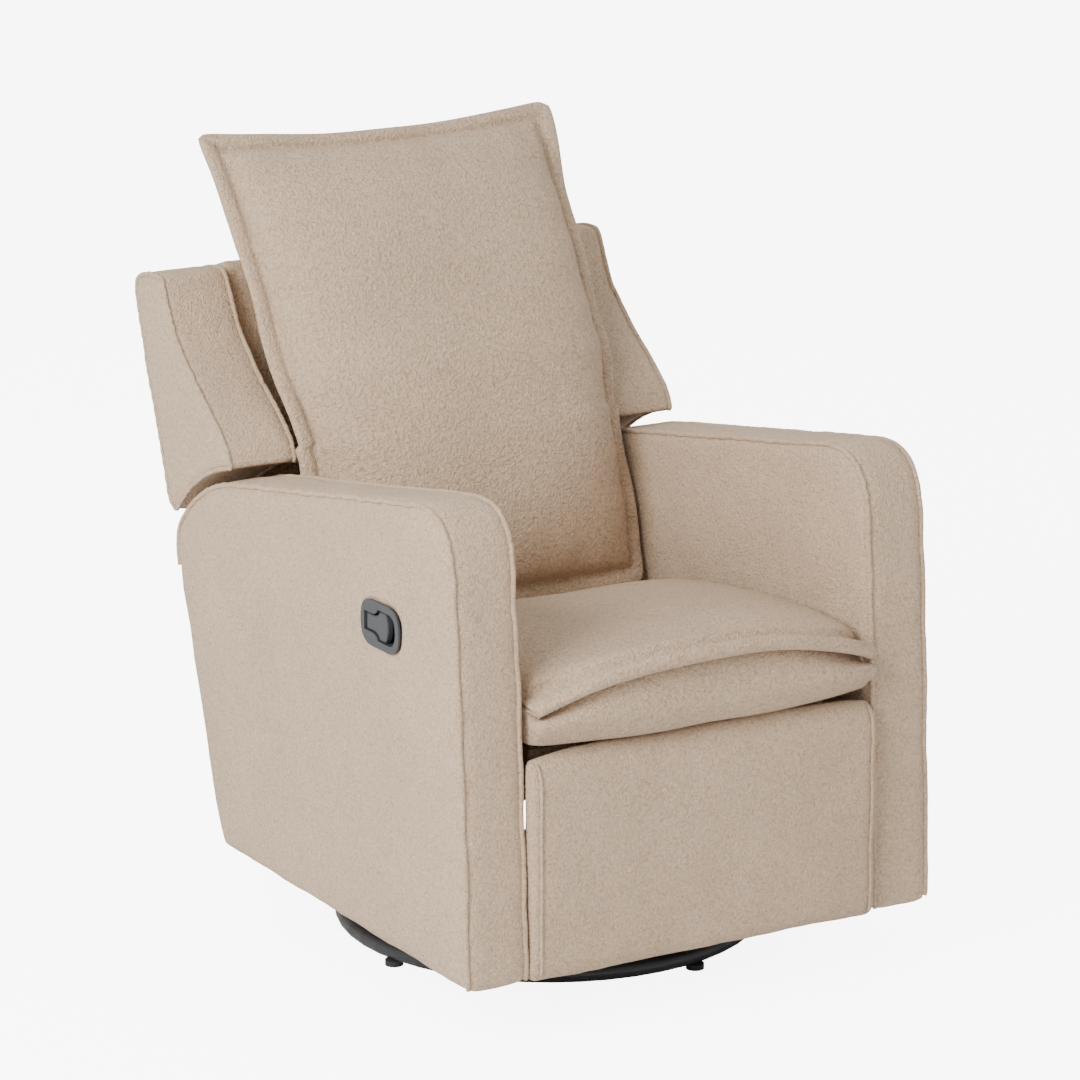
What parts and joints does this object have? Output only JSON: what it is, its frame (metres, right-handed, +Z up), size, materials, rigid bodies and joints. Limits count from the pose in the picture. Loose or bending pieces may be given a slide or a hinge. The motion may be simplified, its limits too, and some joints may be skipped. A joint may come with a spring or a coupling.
{
  "type": "glider nursery chair",
  "caption": "Upholstered swivel glider chair with a reclining winged back, a pull handle in the arm and a footrest that folds out on a linkage.",
  "frame": {"origin": "centre of the bottom of the bounding box, on the floor", "axes": "+Z up, the sitter faces -Y, the sitter's left is +X"},
  "size_m": [0.7452, 0.9964, 1.0756],
  "materials": {
    "cover_fabric": "matte",
    "cushion_fabric": "matte",
    "wood": "matte",
    "black_steel": "satin",
    "zinc_steel": "satin",
    "handle_plastic": "matte",
    "rubber": "matte",
    "cable": "matte"
  },
  "bodies": {
    "base": {"base_ring": "black_steel", "foot_1": "rubber", "foot_2": "rubber", "foot_3": "rubber", "foot_4": "rubber", "swivel_race_lower": "zinc_steel"},
    "swivel": {"swivel_race_upper": "zinc_steel", "swivel_plate": "black_steel", "swivel_bolt": "zinc_steel", "glider_lower_frame": "black_steel"},
    "swing_front": {"swing_link_front_left": "zinc_steel", "swing_link_front_right": "zinc_steel"},
    "swing_rear": {"swing_link_rear_left": "zinc_steel", "swing_link_rear_right": "zinc_steel"},
    "seat": {"seat_rail_left": "wood", "seat_rail_right": "wood", "seat_rail_front": "wood", "seat_rail_rear": "wood", "glider_hanger_left": "black_steel", "glider_hanger_right": "black_steel", "seat_spring_1": "zinc_steel", "seat_spring_2": "zinc_steel", "seat_spring_3": "zinc_steel", "seat_spring_4": "zinc_steel", "deck_cover": "cover_fabric", "rear_valance": "cover_fabric", "arm_left": "cover_fabric", "arm_right": "cover_fabric", "arm_board_left": "wood", "arm_board_right": "wood", "mechanism_plate_left": "black_steel", "mechanism_plate_right": "black_steel", "mechanism_tube_front": "black_steel", "mechanism_tube_rear": "black_steel", "seat_cushion": "cushion_fabric", "handle_bezel": "handle_plastic", "release_cable": "cable"},
    "footrest_drive": {"footrest_link_rear_left": "zinc_steel", "footrest_link_rear_right": "zinc_steel", "footrest_drive_tube": "black_steel"},
    "footrest_front_links": {"footrest_link_front_left": "zinc_steel", "footrest_link_front_right": "zinc_steel"},
    "footrest_long_links": {"footrest_link_long_left": "zinc_steel", "footrest_link_long_right": "zinc_steel"},
    "footrest_control_links": {"footrest_link_control_left": "zinc_steel", "footrest_link_control_right": "zinc_steel"},
    "footrest": {"footrest_bracket_left": "black_steel", "footrest_bracket_right": "black_steel", "footrest_board": "wood", "footrest_pad": "cover_fabric"},
    "back": {"back_shell": "cover_fabric", "back_frame": "wood", "back_cushion": "cushion_fabric", "wing_left": "cover_fabric", "wing_right": "cover_fabric", "recline_bracket_left": "black_steel", "recline_bracket_right": "black_steel"},
    "handle": {"handle_paddle": "handle_plastic"},
    "trip": {"trip_lever": "zinc_steel"}
  },
  "joints": [
    {"name": "swivel_turn", "type": "hinge", "parent": "base", "child": "swivel", "pos_m": [0.00165, -0.05618, 0.04], "axis": [0, 0, 1], "continuous": true},
    {"name": "glide", "type": "hinge", "parent": "swivel", "child": "swing_front", "pos_m": [0.00165, -0.14118, 0.205], "axis": [1, 0, 0], "range_deg": [-26, 26]},
    {"name": "glide_rear", "type": "hinge", "parent": "swivel", "child": "swing_rear", "pos_m": [0.00165, 0.02882, 0.205], "axis": [1, 0, 0], "range_deg": [-26, 26]},
    {"name": "glide_seat", "type": "hinge", "parent": "swing_front", "child": "seat", "pos_m": [0.00165, -0.14118, 0.095], "axis": [1, 0, 0], "range_deg": [-26, 26]},
    {"name": "footrest_open", "type": "hinge", "parent": "seat", "child": "footrest_drive", "pos_m": [0.00165, -0.25018, 0.34], "axis": [-1, 0, 0], "range_deg": [0, 90]},
    {"name": "footrest_front_links_turn", "type": "hinge", "parent": "seat", "child": "footrest_front_links", "pos_m": [0.00165, -0.30018, 0.368], "axis": [-1, 0, 0], "range_deg": [0, 90]},
    {"name": "footrest_long_links_turn", "type": "hinge", "parent": "footrest_drive", "child": "footrest_long_links", "pos_m": [0.00165, -0.21678, 0.10234], "axis": [-1, 0, 0], "range_deg": [-90, 0]},
    {"name": "footrest_control_links_turn", "type": "hinge", "parent": "footrest_front_links", "child": "footrest_control_links", "pos_m": [0.00165, -0.26191, 0.09568], "axis": [-1, 0, 0], "range_deg": [-90, 0]},
    {"name": "footrest_pad_turn", "type": "hinge", "parent": "footrest_long_links", "child": "footrest", "pos_m": [0.00165, -0.41678, 0.21434], "axis": [-1, 0, 0], "range_deg": [0, 90]},
    {"name": "back_recline", "type": "hinge", "parent": "seat", "child": "back", "pos_m": [0.00165, 0.14282, 0.33], "axis": [-1, 0, 0], "range_deg": [0, 35]},
    {"name": "handle_pull", "type": "hinge", "parent": "seat", "child": "handle", "pos_m": [-0.36335, -0.21618, 0.528], "axis": [0, 0, -1], "range_deg": [0, 30], "stiffness_Nm_per_rad": 1, "springref_deg": -5.73},
    {"name": "trip_lever_turn", "type": "hinge", "parent": "seat", "child": "trip", "pos_m": [0.00165, -0.16718, 0.362], "axis": [-1, 0, 0], "range_deg": [-15, 15]}
  ],
  "couplings": [
    {"joint": "glide_rear", "follows": "glide", "ratio": 1},
    {"joint": "glide_seat", "follows": "glide", "ratio": -1},
    {"joint": "footrest_front_links_turn", "follows": "footrest_open", "ratio": 1},
    {"joint": "footrest_long_links_turn", "follows": "footrest_open", "ratio": -1},
    {"joint": "footrest_control_links_turn", "follows": "footrest_open", "ratio": -1},
    {"joint": "footrest_pad_turn", "follows": "footrest_open", "ratio": 1},
    {"joint": "trip_lever_turn", "follows": "handle_pull", "ratio": 0.5}
  ]
}
